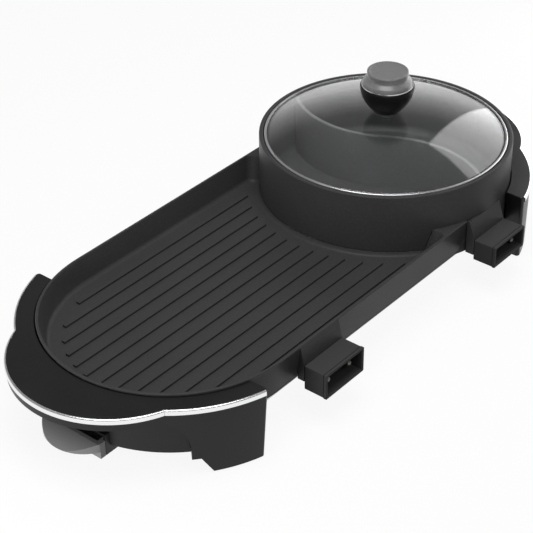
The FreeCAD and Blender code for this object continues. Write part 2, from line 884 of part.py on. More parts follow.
def make_lid_rim():
    """The steel band that is rolled round the glass's edge."""
    body = new_body("lid_rim")
    band = LID_RADIUS - dim.lid_rim_band
    bevel = dim.glass_bevel
    glass_bottom = GLASS_TOP - dim.glass_thickness
    revolve(body, [
        (band, LID_BOTTOM),
        (LID_RADIUS - bevel, LID_BOTTOM),
        (LID_RADIUS, LID_BOTTOM + bevel),
        (LID_RADIUS, LID_TOP - bevel),
        (LID_RADIUS - bevel, LID_TOP),
        (band, LID_TOP),
        (band, GLASS_TOP),
        (GLASS_EDGE - bevel, GLASS_TOP),
        (GLASS_EDGE, GLASS_TOP - bevel),
        (GLASS_EDGE, glass_bottom + bevel),
        (GLASS_EDGE - bevel, glass_bottom),
        (band, glass_bottom),
    ])
    return body


def make_knob_gasket():
    """The silicone washer between the glass and the knob."""
    body = new_body("knob_gasket")
    revolve(body, [
        (HOLE_RADIUS, dome_height(HOLE_RADIUS)),
        (dim.gasket_radius, dome_height(dim.gasket_radius), DOME_RADIUS, -1),
        (dim.gasket_radius, KNOB_FOOT),
        (HOLE_RADIUS, KNOB_FOOT),
    ])
    return body


def make_screw_washer():
    """The washer under the glass."""
    body = new_body("screw_washer")
    low = dome_height(dim.washer_radius) - dim.glass_thickness - dim.gasket_thickness
    revolve(body, [
        (HOLE_RADIUS, low),
        (dim.washer_radius, low),
        (dim.washer_radius, dome_height(dim.washer_radius) - dim.glass_thickness),
        (HOLE_RADIUS, dome_height(HOLE_RADIUS) - dim.glass_thickness, DOME_RADIUS, 1),
    ])
    return body


def make_knob_screw():
    """The screw that comes up through the glass into the knob."""
    body = new_body("knob_screw")
    seat = dome_height(dim.washer_radius) - dim.glass_thickness - dim.gasket_thickness
    revolve(body, [
        (0, seat - dim.screw_head_height),
        (dim.screw_head_radius, seat - dim.screw_head_height),
        (dim.screw_head_radius, seat),
        (dim.knob_screw_radius, seat),
        (dim.knob_screw_radius, KNOB_FOOT + dim.screw_reach),
        (0, KNOB_FOOT + dim.screw_reach),
    ])
    return body


def make_knob_body():
    """The knob's flared grip."""
    body = new_body("knob_body")
    bore_top = KNOB_FOOT + dim.screw_reach
    revolve(body, [
        (dim.knob_screw_radius, KNOB_FOOT),
        (dim.knob_foot_radius, KNOB_FOOT),
        (dim.knob_radius, KNOB_BODY_TOP - dim.knob_edge, dim.knob_flare, 1),
        (dim.knob_radius, KNOB_BODY_TOP - dim.knob_ring_height),
        (dim.knob_radius - dim.knob_ring_height, KNOB_BODY_TOP),
        (0, KNOB_BODY_TOP),
        (0, bore_top),
        (dim.knob_screw_radius, bore_top),
    ])
    return body


def make_knob_ring():
    """The thin bright ring under the knob's cap."""
    body = new_body("knob_ring")
    radius = dim.knob_radius - dim.knob_ring_height
    top = KNOB_BODY_TOP + dim.knob_ring_height
    revolve(body, [
        (dim.knob_screw_radius, KNOB_BODY_TOP),
        (radius, KNOB_BODY_TOP),
        (radius, top),
        (dim.knob_screw_radius, top),
    ])
    return body


def make_knob_cap():
    """The knob's stepped cap: a flange with a sloping shelf, a neck and a flat round top."""
    body = new_body("knob_cap")
    low = KNOB_BODY_TOP + dim.knob_ring_height
    top = low + dim.knob_cap_height
    shelf = low + dim.knob_flange_height
    flange, rim, soft = dim.knob_flange_radius, dim.knob_top_radius, dim.knob_cap_round
    neck = rim - dim.knob_neck_inset
    revolve(body, [
        (0, low),
        (flange, low),
        (flange, shelf - dim.knob_flange_bevel),
        (flange - dim.knob_flange_bevel, shelf),
        (neck, shelf + dim.knob_flange_slope),
        (neck, top - dim.knob_top_edge),
        (rim, top - dim.knob_top_edge),
        (rim, top - soft),
        (rim - soft, top, soft, 1),
        (0, top),
    ])
    return body


# ---------------------------------------------------------------- end bases

HOUSING_FLOOR = dim.housing_stand + dim.housing_wall
DRAWER_BOTTOM = HOUSING_FLOOR + dim.drawer_lift
DRAWER_TOP = DRAWER_BOTTOM + dim.drawer_height
HOUSING_ROOF = DRAWER_TOP + dim.drawer_headroom
HOUSING_HALF = dim.drawer_half_width + dim.drawer_gap + dim.housing_wall
DRAWER_FRONT = GRILL_BASE.x(dim.drawer_reach)
PANEL_BACK = DRAWER_FRONT + dim.panel_depth
DRAWER_BACK = GRILL_BASE.x(dim.drawer_reach - dim.drawer_length)


def add_drawer_housing(body, base):
    """The sleeve that the grease drawer slides in, open to the drain above."""
    half = dim.drawer_half_width + dim.drawer_gap
    mouth = PANEL_BACK + dim.drawer_gap
    back = DRAWER_BACK + dim.drawer_gap
    top = HOUSING_ROOF + dim.housing_wall
    block = rectangle(mouth, back + dim.housing_wall, -HOUSING_HALF, HOUSING_HALF)
    pad(body, path_sketch(body, block, dim.housing_stand), top - dim.housing_stand)
    channel = rectangle(-half, half, HOUSING_FLOOR, HOUSING_ROOF)
    sketch = path_sketch(body, channel, offset=mouth - dim.housing_wall, role="YZ_Plane")
    pocket(body, sketch, back - mouth + dim.housing_wall, True)
    opening = rectangle(base.x(base.inner), back, -half, half)
    pocket(body, path_sketch(body, opening, top), dim.housing_wall)


def make_end_base(base):
    """A moulded base: top plate, grip, collar round the pan, two legs and the pan's ledge."""
    body = new_body(base.name + "_base")
    for hand in (-1, 1):
        loft(body, "AdditiveLoft", [path_sketch(body, base.leg(hand, 1), dim.foot_stand),
                                    path_sketch(body, base.leg(hand, 0), base.underside)])
    for hand in (-1, 1):
        clearing = path_sketch(body, base.leg_clearing(), role="XZ_Plane")
        turn_sketch(clearing, base.centre, arc_sine(base.web_start / base.radius), -hand * base.side)
        pocket(body, clearing, base.reach, hand < 0)
    pad(body, path_sketch(body, base.outline(), base.underside), dim.base_skirt)
    fillet(body, dim.arm_round, base.arm_corner)
    fillet(body, dim.kink_round, base.kink)
    chamfer(body, dim.base_bevel, lambda edge: level_edge(edge, BASE_TOP))
    chamfer(body, dim.sole_bevel, lambda edge: level_edge(edge, dim.foot_stand))
    hollow = path_sketch(body, base.grip_hollow(), base.underside)
    pocket(body, hollow, dim.base_skirt - dim.base_plate, True)
    collar_start = base.start + dim.leg_end_draft
    collar = path_sketch(body, base.sector(base.inner, base.collar, collar_start), dim.recess_bottom)
    pad(body, collar, BASE_TOP - dim.base_plate / 2 - dim.recess_bottom)
    if base is GRILL_BASE:
        add_drawer_housing(body, base)
    ledge = base.sector(base.inner - dim.ledge_reach, base.inner + dim.base_wall / 2)
    low = dim.pan_foot_height - dim.ledge_thickness
    pad(body, path_sketch(body, ledge, low), dim.ledge_thickness)
    for groove in (base.side_trim(-1), base.side_trim(1), base.grip_trim()):
        pocket(body, path_sketch(body, groove, TRIM_TOP), dim.trim_height)
    for hand in (-1, 1):
        seat = circle_sketch(body, dim.foot_radius, foot_x(base), foot_y(base) * hand, dim.foot_stand)
        pocket(body, seat, dim.foot_depth, True)
    return body


def foot_reach(base):
    """How far outward a rubber foot is: half way along the leg's sole."""
    return (base.start + dim.leg_end_draft + base.foot_end) / 2


def foot_x(base):
    """X of a rubber foot in the pan's plan."""
    return base.x(foot_reach(base))


def foot_y(base):
    """How far a rubber foot is from the middle line: half way across the leg."""
    middle = (base.inner + base.radius - dim.leg_draft) / 2
    return leg_of(middle, foot_reach(base))


def make_trim(base, name, path):
    """A bright strip let into the base's edge, with its outer edges bevelled."""
    body = new_body("%s_%s_trim" % (base.name, name))
    pad(body, path_sketch(body, path, TRIM_TOP - dim.trim_height), dim.trim_height)
    outer = (dim.grip_radius if name == "grip" else base.radius) + dim.trim_stand
    chamfer(body, dim.trim_bevel, lambda edge: round_edge(edge, outer))
    return body


def make_foot(base, name, hand):
    """A rubber foot, pressed into a leg's sole."""
    foot = doc.addObject("Part::Cylinder", "%s_%s_foot" % (base.name, name))
    foot.Label = foot.Name
    bind(foot, "Radius", dim.foot_radius)
    bind(foot, "Height", dim.foot_stand + dim.foot_depth)
    return place(foot, foot_x(base), foot_y(base) * hand)


# ---------------------------------------------------------------- sockets and heaters

SHIELD_LEFT = GRILL_BASE.x(GRILL_BASE.start - dim.shield_base_gap)
SHIELD_RIGHT = POT_BASE.x(POT_BASE.start - dim.shield_base_gap)


def hood_corner(hood, edge):
    """Whether an edge is one of the sleeve's four long outer corners."""
    box = edge.BoundBox
    off_x = abs(box.Center.x - hood.centre.value) - hood.width.value / 2
    return abs(off_x) < 0.01 and abs(box.YLength - dim.hood_depth.value) < 0.01


def make_hood(hood):
    """The square sleeve that shrouds the plug's pins, open at its outer face."""
    body = new_body(hood.name + "_socket_hood")
    half, wall = hood.width / 2, dim.hood_wall
    top = HOOD_TOP
    sketch = path_sketch(body, rectangle(hood.centre - half, hood.centre + half, hood.bottom, top),
                         offset=hood.back, role="XZ_Plane")
    draw_path(sketch, rectangle(hood.centre - half + wall, hood.centre + half - wall,
                                hood.bottom + wall, top - wall))
    pad(body, sketch, dim.hood_depth)
    fillet(body, dim.hood_corner_round, lambda edge: hood_corner(hood, edge))
    chamfer(body, dim.hood_bevel, lambda edge: edge.BoundBox.YMax < 0.01 - hood.face.value)
    return body


def make_terminal_block(hood):
    """The moulded block that holds the pins: a plate in the hood and a neck through the casting."""
    body = new_body(hood.name + "_terminal_block")
    half, wall = hood.width / 2 - dim.hood_wall, dim.hood_wall
    plate = rectangle(hood.centre - half, hood.centre + half,
                      hood.bottom + wall, HOOD_TOP - wall)
    pad(body, path_sketch(body, plate, offset=hood.back, role="XZ_Plane"), dim.block_plate)
    neck_half = dim.block_width / 2
    neck = rectangle(hood.centre - neck_half, hood.centre + neck_half,
                     dim.pan_foot_height, PLATE_BOTTOM)
    pad(body, path_sketch(body, neck, offset=hood.block_back, role="XZ_Plane"), dim.block_depth)
    bores = new_sketch(body, "XZ_Plane", hood.shoulder)
    for pin_x in hood.pins:
        add_circle(bores, pin_x, HEATER_HEIGHT, dim.pin_shank_radius)
    add_circle(bores, hood.centre, HEATER_HEIGHT, dim.probe_radius)
    pocket(body, bores, hood.shoulder - hood.block_back)
    return body


def make_pin(hood, name, pin_x):
    """A round contact pin: a shank through the block, and the contact out in the hood."""
    body = new_body("%s_%s_pin" % (hood.name, name))
    tip = hood.face - dim.pin_recess
    shank = circle_sketch(body, dim.pin_shank_radius, pin_x, HEATER_HEIGHT, hood.block_back, "XZ_Plane")
    pad(body, shank, hood.shoulder - hood.block_back)
    contact = circle_sketch(body, dim.pin_radius, pin_x, HEATER_HEIGHT, hood.shoulder, "XZ_Plane")
    pad(body, contact, tip - hood.shoulder)
    chamfer(body, dim.pin_chamfer, lambda edge: edge.BoundBox.YMax < 0.01 - tip.value)
    return body


def make_probe_tube(hood):
    """The closed tube under the casting that takes the thermostat's probe."""
    body = new_body(hood.name + "_probe_tube")
    tail = hood.block_back - dim.probe_length
    sketch = circle_sketch(body, dim.probe_radius, hood.centre, HEATER_HEIGHT, tail, "XZ_Plane")
    pad(body, sketch, hood.shoulder - tail)
    bore = circle_sketch(body, dim.probe_bore, hood.centre, HEATER_HEIGHT, hood.shoulder, "XZ_Plane")
    pocket(body, bore, hood.shoulder - tail - dim.probe_end)
    return body


def make_heater(hood, route):
    """A sheathed heating element that follows a route under the casting."""
    body = new_body(hood.name + "_heater")
    spine = path_sketch(body, route, HEATER_HEIGHT, closed=False)
    section = circle_sketch(body, dim.heater_radius, hood.pins[0], HEATER_HEIGHT, hood.block_back,
                            "XZ_Plane")
    pipe = feature(body, "AdditivePipe", section)
    pipe.Spine = (spine, [])
    return body


def grill_route():
    """The griddle's element: in from one pin, once round the floor and out to the other pin."""
    bend, corner = dim.heater_bend, dim.grill_loop_corner
    side = dim.tray_half_width - dim.grill_loop_inset
    left = SHIELD_LEFT + dim.grill_loop_end_gap
    right = -dim.pot_radius - dim.grill_loop_pot_gap
    first, last = GRILL_HOOD.pins
    return [
        (first, -GRILL_HOOD.block_back),
        (first, -side - bend),
        (first - bend, -side, bend, 1),
        (left + corner, -side),
        (left, corner - side, corner, -1),
        (left, side - corner),
        (left + corner, side, corner, -1),
        (right - corner, side),
        (right, side - corner, corner, -1),
        (right, corner - side),
        (right - corner, -side, corner, -1),
        (last + bend, -side),
        (last, -side - bend, bend, 1),
        (last, -GRILL_HOOD.block_back),
    ]


def pot_route():
    """The pot's element: in from one pin, a ring under the floor and out to the other pin."""
    bend, loop = dim.heater_bend, dim.pot_radius - dim.pot_loop_inset
    reach = loop + bend
    first, last = POT_HOOD.pins
    first_side, last_side = first - bend, last + bend
    first_depth, last_depth = leg_of(reach, first_side), leg_of(reach, last_side)
    share = loop / reach
    return [
        (first, -POT_HOOD.block_back),
        (first, -first_depth),
        (first_side * share, -first_depth * share, bend, 1),
        (-loop, 0, loop, -1),
        (0, loop, loop, -1),
        (loop, 0, loop, -1),
        (last_side * share, -last_depth * share, loop, -1),
        (last, -last_depth, bend, 1),
        (last, -POT_HOOD.block_back),
    ]


def shield_path(margin):
    """Plan of the bottom shield, smaller all round by a margin."""
    half = dim.tray_half_width - dim.shield_inset - margin
    left, right = SHIELD_LEFT + margin, SHIELD_RIGHT - margin
    end_radius = POT_BASE.inner - dim.ledge_reach - dim.shield_ledge_gap - margin
    return [
        (left, -half),
        (right, -half),
        (right, -leg_of(end_radius, right)),
        (right, leg_of(end_radius, right), end_radius, 1),
        (right, half),
        (left, half),
    ]


def make_bottom_shield():
    """The shallow sheet pan that covers the heaters from below."""
    body = new_body("bottom_shield")
    draft, sheet_metal = dim.shield_draft, dim.shield_sheet
    bottom, top = dim.pan_foot_height - dim.shield_depth, dim.pan_foot_height
    loft(body, "AdditiveLoft", [path_sketch(body, shield_path(draft), bottom),
                                path_sketch(body, shield_path(0), top)])
    loft(body, "SubtractiveLoft", [path_sketch(body, shield_path(draft + sheet_metal), bottom + sheet_metal),
                                   path_sketch(body, shield_path(sheet_metal), top)])
    return body


# ---------------------------------------------------------------- grease drawer

def pull_path(half, reach):
    """Plan of the drawer's bowed front, from a chord on the drawer's front face."""
    radius = (half * half + reach * reach) / (reach * 2)
    return [(DRAWER_FRONT, half), (DRAWER_FRONT, -half, radius, 1)]


def pull_slope(waist):
    """Section of what is cut off the pull's top: it falls from the panel's lip to the waist."""
    lip = DRAWER_FRONT - dim.pull_lip
    tip = DRAWER_FRONT - dim.pull_reach
    clear_x, clear_z = tip - dim.pull_wall, DRAWER_TOP + dim.pull_wall
    return [
        (lip, DRAWER_TOP),
        (tip, waist, dim.pull_crown, 1),
        (clear_x, waist),
        (clear_x, clear_z),
        (lip, clear_z),
    ]


def make_grease_drawer():
    """The drip drawer: an open tray behind a thick panel with a bowed, crowned finger pull."""
    body = new_body("grease_drawer")
    half, wall = dim.drawer_half_width, dim.drawer_wall
    front, back, low, top = DRAWER_FRONT, DRAWER_BACK, dim.housing_stand, DRAWER_TOP
    waist = low + dim.pull_waist
    panel = rectangle(front, PANEL_BACK, -HOUSING_HALF, HOUSING_HALF)
    pad(body, path_sketch(body, panel, low), top - low)
    bowl = path_sketch(body, rectangle(PANEL_BACK, back, -half, half), DRAWER_BOTTOM)
    pad(body, bowl, dim.drawer_height)
    foot = pull_path(dim.pull_foot_half_width, dim.pull_foot_reach)
    belly = pull_path(HOUSING_HALF, dim.pull_reach)
    loft(body, "AdditiveLoft", [path_sketch(body, foot, low), path_sketch(body, belly, waist)])
    pad(body, path_sketch(body, belly, waist), top - waist)
    slope = path_sketch(body, pull_slope(waist), role="XZ_Plane")
    pocket(body, slope, HOUSING_HALF * 2).Midplane = True
    lip = DRAWER_FRONT - dim.pull_lip
    fillet(body, dim.pull_round,
           lambda edge: level_edge(edge, top) and edge.BoundBox.XMax < lip.value + 0.01)
    inside = rectangle(front + wall, back - wall, wall - half, half - wall)
    pocket(body, path_sketch(body, inside, top), dim.drawer_height - wall)
    grip = pull_path(dim.pull_foot_half_width - dim.pull_wall * 2, dim.pull_foot_reach - dim.pull_wall)
    pocket(body, path_sketch(body, grip, low), dim.pull_depth, True)
    return body


# ---------------------------------------------------------------- assembly

def make_parts():
    """Every sub-part of the appliance."""
    parts = [
        make_grill_tray(), make_hot_pot(), make_pot_divider(), make_bottom_shield(),
        make_heater(GRILL_HOOD, grill_route()), make_heater(POT_HOOD, pot_route()),
        make_lid_glass(), make_lid_rim(), make_knob_gasket(), make_screw_washer(),
        make_knob_screw(), make_knob_body(), make_knob_ring(), make_knob_cap(),
        make_grease_drawer(),
    ]
    for base in (GRILL_BASE, POT_BASE):
        parts.append(make_end_base(base))
        parts.append(make_trim(base, "grip", base.grip_trim()))
        for name, hand in (("front", -1), ("rear", 1)):
            parts.append(make_trim(base, name, base.side_trim(hand)))
            parts.append(make_foot(base, name, hand))
    for hood in (GRILL_HOOD, POT_HOOD):
        parts.append(make_hood(hood))
        parts.append(make_terminal_block(hood))
        parts.append(make_probe_tube(hood))
        for name, pin_x in zip(("left", "right"), hood.pins):
            parts.append(make_pin(hood, name, pin_x))
    return parts


def check(parts):
    """Stop if any object failed, or a sub-part has no sound shape."""
    failed = [item.Name for item in doc.Objects if "Invalid" in item.State or "Error" in item.State]
    if failed:
        raise RuntimeError("objects that failed: %s" % failed)
    for part in parts:
        if part.Shape.isNull() or not part.Shape.isValid() or len(part.Shape.Solids) != 1:
            raise RuntimeError("%s has no sound shape" % part.Label)


sub_parts = make_parts()
doc.recompute()
check(sub_parts)
for sub_part in sub_parts:
    sub_part.Shape.exportStep("parts/%s.step" % sub_part.Label)
print("%d sub-parts written" % len(sub_parts))
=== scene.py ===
"""The griddle and hot pot, dressed: finishes, fine fittings, studio and camera.

Lengths are in metres, angles kept in fields are in degrees, +Z is up, and every piece is placed
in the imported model's frame.
"""
import json
import logging
import math
from dataclasses import dataclass, field
from enum import Enum
from typing import Protocol

import bmesh
import bpy
from mathutils import Matrix, Vector


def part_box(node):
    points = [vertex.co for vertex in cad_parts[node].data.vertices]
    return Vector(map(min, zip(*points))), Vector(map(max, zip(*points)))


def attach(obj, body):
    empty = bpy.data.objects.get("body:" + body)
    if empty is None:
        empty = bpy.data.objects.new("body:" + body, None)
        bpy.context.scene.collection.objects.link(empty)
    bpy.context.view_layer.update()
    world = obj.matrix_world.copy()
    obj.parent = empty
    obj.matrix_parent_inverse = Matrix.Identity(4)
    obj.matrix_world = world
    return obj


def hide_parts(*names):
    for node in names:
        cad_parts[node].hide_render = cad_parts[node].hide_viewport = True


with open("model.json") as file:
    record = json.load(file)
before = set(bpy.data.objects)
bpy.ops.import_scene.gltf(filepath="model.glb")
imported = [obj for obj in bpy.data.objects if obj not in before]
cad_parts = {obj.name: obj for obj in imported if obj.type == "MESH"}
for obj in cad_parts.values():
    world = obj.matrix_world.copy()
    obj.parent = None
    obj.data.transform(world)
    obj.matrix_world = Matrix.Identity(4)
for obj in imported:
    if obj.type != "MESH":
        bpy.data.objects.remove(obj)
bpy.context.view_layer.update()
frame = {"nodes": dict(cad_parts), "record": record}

log = logging.getLogger("griddle_and_hot_pot")

Colour = tuple[float, float, float]
Range = tuple[float, float]
Socket = bpy.types.NodeSocket
MM = 0.001
MERGE = 0.001 * MM  # points nearer to each other than this become one


# ---------------------------------------------------------------- finishes

class NodeSheet:
    """A material's or a world's node tree, with short calls that add nodes and join them."""

    def __init__(self, owner: bpy.types.Material | bpy.types.World) -> None:
        """Start with an empty tree."""
        owner.use_nodes = True
        self.owner = owner
        self.tree = owner.node_tree
        self.tree.nodes.clear()

    def feed(self, socket: Socket, value: object) -> None:
        """Give a socket a link or a fixed value."""
        if isinstance(value, Socket):
            self.tree.links.new(value, socket)
        elif socket.type == "RGBA" and len(value) == 3:
            socket.default_value = (*value, 1.0)
        else:
            socket.default_value = value

    def add(self, kind: str, inputs: dict[str, object], **settings: object) -> bpy.types.Node:
        """Add a node.

        Args:
            kind: the node's class name.
            inputs: what goes into its sockets, by their names.
            settings: its own properties.

        Returns:
            The new node.
        """
        node = self.tree.nodes.new(kind)
        for name, setting in settings.items():
            setattr(node, name, setting)
        for name, value in inputs.items():
            self.feed(node.inputs[name], value)
        return node

    def point(self) -> Socket:
        """The place on the piece, in metres."""
        return self.add("ShaderNodeTexCoord", {}).outputs["Object"]

    def mapped(self, stretch: Vector, centre: Vector = Vector((0, 0, 0))) -> Socket:
        """The place from a centre, stretched along each axis."""
        location = [-middle * scale for middle, scale in zip(centre, stretch)]
        node = self.add("ShaderNodeMapping", {"Vector": self.point(), "Location": location,
                                              "Scale": stretch})
        return node.outputs["Vector"]

    def noise(self, vector: Socket, size: float, detail: float = 2.0) -> Socket:
        """Soft noise whose lumps are of about that size in metres."""
        node = self.add("ShaderNodeTexNoise", {"Vector": vector, "Scale": 1.0 / size,
                                               "Detail": detail})
        return node.outputs["Fac"]

    def flecks(self, size: float, share: float, fade: float = 1.6) -> Socket:
        """Small separate specks: 1 on a speck, 0 elsewhere, and fading up to that many shares."""
        cells = self.add("ShaderNodeTexVoronoi", {"Vector": self.point(), "Scale": 1.0 / size})
        return self.span(cells.outputs["Distance"], 1.0, 0.0, share, share * fade)

    def span(self, value: Socket, low: float, high: float, start: float = 0.3,
             end: float = 0.7) -> Socket:
        """A value's range from start to end, spread from low to high."""
        node = self.add("ShaderNodeMapRange", {"Value": value, "From Min": start, "From Max": end,
                                               "To Min": low, "To Max": high})
        return node.outputs["Result"]

    def tint(self, share: Socket, first: object, second: object) -> Socket:
        """A colour between two others."""
        node = self.tree.nodes.new("ShaderNodeMix")
        node.data_type = "RGBA"
        self.feed(node.inputs["Factor"], share)
        for side, colour in (("A", first), ("B", second)):
            self.feed(next(s for s in node.inputs if s.name == side and s.type == "RGBA"), colour)
        return next(s for s in node.outputs if s.type == "RGBA")

    def clouded(self, pattern: Socket, colour: Colour, shades: Range) -> Socket:
        """A colour that a pattern takes from one shade of it to another."""
        return self.tint(pattern, *(shade(colour, share) for share in shades))

    def glossed(self, pattern: Socket, roughness: float, spread: Range) -> Socket:
        """A roughness that a pattern moves by so much down and up."""
        return self.span(pattern, *(roughness + part for part in spread))

    def filled(self, kind: str, values: tuple[object, ...], **settings: object) -> Socket:
        """The first output of a new node whose sockets are filled in their order."""
        node = self.add(kind, {}, **settings)
        for socket, value in zip(node.inputs, values):
            self.feed(socket, value)
        return node.outputs[0]

    def maths(self, kind: str, first: object, second: object) -> Socket:
        """A sum on two values."""
        return self.filled("ShaderNodeMath", (first, second), operation=kind)

    def blend(self, share: Socket, first: Socket, second: Socket) -> Socket:
        """A shader between two others."""
        return self.filled("ShaderNodeMixShader", (share, first, second))

    def bump(self, height: Socket, depth: float) -> Socket:
        """A normal that a height pattern of some depth in metres has roughened."""
        node = self.add("ShaderNodeBump", {"Height": height, "Distance": depth, "Strength": 1.0})
        return node.outputs["Normal"]

    def shader(self, inputs: dict[str, object]) -> Socket:
        """A principled shader."""
        return self.add("ShaderNodeBsdfPrincipled", inputs).outputs["BSDF"]

    def close(self, shader: Socket) -> bpy.types.Material:
        """Put a shader on the surface and hand over the material."""
        self.add("ShaderNodeOutputMaterial", {"Surface": shader})
        return self.owner


def shade(colour: Colour, share: float) -> Colour:
    """A colour made darker or lighter."""
    return tuple(min(1.0, part * share) for part in colour)


class Finish(Protocol):
    """Anything that makes a material."""

    def make(self) -> bpy.types.Material:
        """Build the material."""


@dataclass(frozen=True)
class MouldedPlastic:
    """Moulded plastic with a fine eroded grain and faint clouds of gloss."""

    name: str
    colour: Colour
    roughness: float
    reflection: float = 0.25
    grain: float = 0.7 * MM
    grain_depth: float = 0.012 * MM
    cloud: float = 45 * MM
    shades: Range = (0.85, 1.18)
    spread: Range = (-0.04, 0.05)

    def make(self) -> bpy.types.Material:
        """Build the material."""
        sheet = NodeSheet(bpy.data.materials.new(self.name))
        cloud = sheet.noise(sheet.point(), self.cloud, detail=3.0)
        grain = sheet.noise(sheet.point(), self.grain, detail=1.0)
        return sheet.close(sheet.shader({
            "Base Color": sheet.clouded(cloud, self.colour, self.shades),
            "Roughness": sheet.glossed(cloud, self.roughness, self.spread),
            "Specular IOR Level": self.reflection,
            "Normal": sheet.bump(grain, self.grain_depth),
        }))


@dataclass(frozen=True)
class NonStickCoating:
    """Sprayed coating on cast aluminium: a soft sheen, an orange-peel skin and faint flecks."""

    name: str
    colour: Colour
    roughness: float
    reflection: float = 0.35
    peel: float = 1.6 * MM
    peel_depth: float = 0.004 * MM
    fleck: float = 1.3 * MM
    fleck_share: float = 0.16
    fleck_light: float = 1.7
    cloud: float = 60 * MM
    shades: Range = (0.9, 1.12)
    spread: Range = (-0.03, 0.05)

    def make(self) -> bpy.types.Material:
        """Build the material."""
        sheet = NodeSheet(bpy.data.materials.new(self.name))
        cloud = sheet.noise(sheet.point(), self.cloud, detail=4.0)
        body = sheet.clouded(cloud, self.colour, self.shades)
        colour = sheet.tint(sheet.flecks(self.fleck, self.fleck_share), body,
                            shade(self.colour, self.fleck_light))
        return sheet.close(sheet.shader({
            "Base Color": colour,
            "Roughness": sheet.glossed(cloud, self.roughness, self.spread),
            "Specular IOR Level": self.reflection,
            "Normal": sheet.bump(sheet.noise(sheet.point(), self.peel), self.peel_depth),
        }))


@dataclass(frozen=True)
class PlatedMetal:
    """Bright plating with faint smudges over a slightly wavy ground."""

    name: str
    colour: Colour
    roughness: float
    smudge: float = 14 * MM
    wave: float = 9 * MM
    wave_depth: float = 0.004 * MM
    shades: Range = (0.96, 1.0)
    spread: Range = (0.0, 0.07)

    def make(self) -> bpy.types.Material:
        """Build the material."""
        sheet = NodeSheet(bpy.data.materials.new(self.name))
        smudge = sheet.noise(sheet.point(), self.smudge, detail=4.0)
        return sheet.close(sheet.shader({
            "Base Color": sheet.clouded(smudge, self.colour, self.shades),
            "Metallic": 1.0,
            "Roughness": sheet.glossed(smudge, self.roughness, self.spread),
            "Normal": sheet.bump(sheet.noise(sheet.point(), self.wave, detail=1.0),
                                 self.wave_depth),
        }))


@dataclass(frozen=True)
class DrawnSteel:
    """Steel with fine lines: round an upright axis, or along X when it has no axis."""

    name: str
    colour: Colour
    roughness: float
    axis: tuple[float, float] | None = None
    line: float = 0.35 * MM
    line_depth: float = 0.001 * MM
    along: float = 0.02
    cloud: float = 30 * MM
    shades: Range = (0.95, 1.03)
    spread: Range = (-0.05, 0.07)

    def make(self) -> bpy.types.Material:
        """Build the material."""
        sheet = NodeSheet(bpy.data.materials.new(self.name))
        if self.axis is None:
            across = sheet.mapped(Vector((self.along, 1.0, 1.0)))
        else:
            from_axis = sheet.mapped(Vector((1.0, 1.0, 0.0)), Vector((*self.axis, 0.0)))
            radius = sheet.add("ShaderNodeVectorMath", {"Vector": from_axis}, operation="LENGTH")
            level = sheet.add("ShaderNodeSeparateXYZ", {"Vector": sheet.point()}).outputs["Z"]
            across = sheet.add("ShaderNodeCombineXYZ", {"X": radius.outputs["Value"],
                                                        "Z": level}).outputs["Vector"]
        lines = sheet.noise(across, self.line, detail=3.0)
        cloud = sheet.noise(sheet.point(), self.cloud, detail=3.0)
        return sheet.close(sheet.shader({
            "Base Color": sheet.clouded(lines, self.colour, self.shades),
            "Metallic": 1.0,
            "Roughness": sheet.glossed(cloud, self.roughness, self.spread),
            "Normal": sheet.bump(lines, self.line_depth),
        }))


@dataclass(frozen=True)
class HeatedSheath:
    """A heating element's steel sheath, dulled and browned in patches by heat."""

    name: str
    colour: Colour
    burnt: Colour
    roughness: Range = (0.42, 0.6)
    patch: float = 26 * MM
    patch_edge: Range = (0.4, 0.65)
    scale: float = 0.8 * MM
    scale_depth: float = 0.01 * MM

    def make(self) -> bpy.types.Material:
        """Build the material."""
        sheet = NodeSheet(bpy.data.materials.new(self.name))
        patch = sheet.span(sheet.noise(sheet.point(), self.patch, detail=4.0), 0.0, 1.0,
                           *self.patch_edge)
        return sheet.close(sheet.shader({
            "Base Color": sheet.tint(patch, self.colour, self.burnt),
            "Metallic": 0.9,
            "Roughness": sheet.span(patch, *self.roughness, 0.0, 1.0),
            "Normal": sheet.bump(sheet.noise(sheet.point(), self.scale, detail=3.0),
                                 self.scale_depth),
        }))


@dataclass(frozen=True)
class TemperedGlass:
    """Clear tempered glass that lets the lamps through, with faint smears."""

    name: str
    colour: Colour
    smear: float = 35 * MM
    smear_edge: Range = (0.5, 0.8)
    roughness: Range = (0.0, 0.012)
    shades: Range = (0.985, 1.0)
    refraction: float = 1.5

    def make(self) -> bpy.types.Material:
        """Build the material."""
        sheet = NodeSheet(bpy.data.materials.new(self.name))
        smear = sheet.noise(sheet.point(), self.smear, detail=4.0)
        glass = sheet.shader({
            "Base Color": sheet.clouded(smear, self.colour, self.shades),
            "Roughness": sheet.span(smear, *self.roughness, *self.smear_edge),
            "IOR": self.refraction,
            "Transmission Weight": 1.0,
        })
        clear = sheet.add("ShaderNodeBsdfTransparent", {"Color": self.colour}).outputs["BSDF"]
        path = sheet.add("ShaderNodeLightPath", {}).outputs["Is Shadow Ray"]
        return sheet.close(sheet.blend(path, glass, clear))


@dataclass(frozen=True)
class SoftRubber:
    """Dull rubber with a dusty bloom."""

    name: str
    colour: Colour
    roughness: Range = (0.7, 0.9)
    dust: float = 6 * MM
    grain: float = 0.6 * MM
    grain_depth: float = 0.02 * MM
    shades: Range = (1.0, 1.5)

    def make(self) -> bpy.types.Material:
        """Build the material."""
        sheet = NodeSheet(bpy.data.materials.new(self.name))
        dust = sheet.noise(sheet.point(), self.dust, detail=5.0)
        return sheet.close(sheet.shader({
            "Base Color": sheet.clouded(dust, self.colour, self.shades),
            "Roughness": sheet.span(dust, *self.roughness),
            "Specular IOR Level": 0.3,
            "Normal": sheet.bump(sheet.noise(sheet.point(), self.grain), self.grain_depth),
        }))


